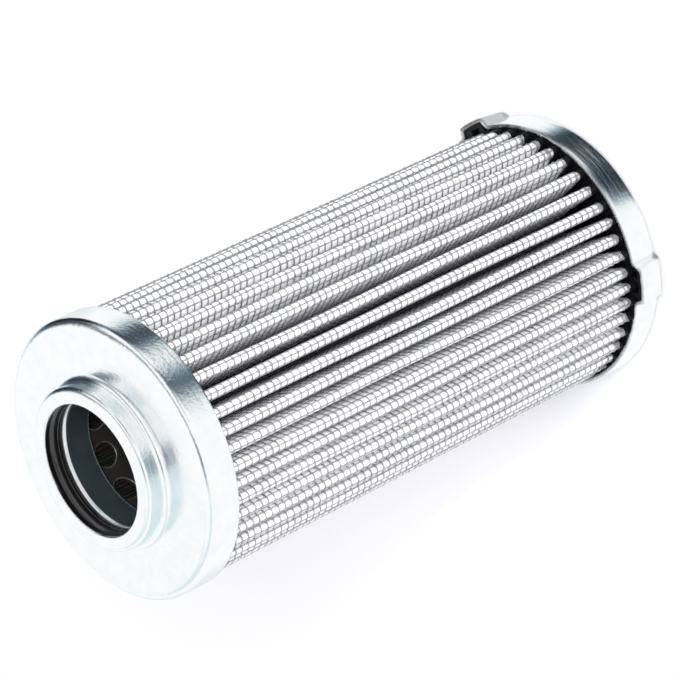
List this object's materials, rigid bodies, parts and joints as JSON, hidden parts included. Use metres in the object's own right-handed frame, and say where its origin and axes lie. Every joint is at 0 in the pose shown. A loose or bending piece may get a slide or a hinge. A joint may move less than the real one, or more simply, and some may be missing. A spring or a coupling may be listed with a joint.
{
  "type": "hydraulic filter element",
  "caption": "Pleated wire-mesh hydraulic filter element with zinc-plated end caps, a sealed neck that plugs onto a spigot, and locating lugs on the closed cap.",
  "frame": {"origin": "centre of the closed cap's outer face, which the element stands on", "axes": "+Z along the element's axis, from the closed cap to the neck; +X through the middle of one lug"},
  "size_m": [0.0538, 0.052, 0.116],
  "materials": {
    "zinc_plated_steel": "bright zinc plating on pressed sheet, satin",
    "seal_rubber": "moulded nitrile rubber, lightly oiled",
    "sleeve_steel": "zinc plating on drawn sheet, smooth",
    "core_steel": "tinned perforated sheet, dull",
    "mesh_wire": "woven steel wire, plain grey",
    "white_fleece": "spunbonded polyester, white",
    "glass_fibre": "bonded glass microfibre",
    "clip_steel": "plain cold-rolled strip",
    "dark_adhesive": "cast epoxy, near black"
  },
  "bodies": {
    "root": {"open_end_cap": "zinc_plated_steel", "closed_end_cap": "zinc_plated_steel", "o_ring": "seal_rubber", "seal_retainer": "sleeve_steel", "core_tube": "core_steel", "outer_mesh": "mesh_wire", "outer_fleece": "white_fleece", "glass_media": "glass_fibre", "inner_fleece": "white_fleece", "inner_mesh": "mesh_wire", "side_seam_clip": "clip_steel", "open_end_adhesive": "dark_adhesive", "closed_end_adhesive": "dark_adhesive"}
  },
  "joints": []
}
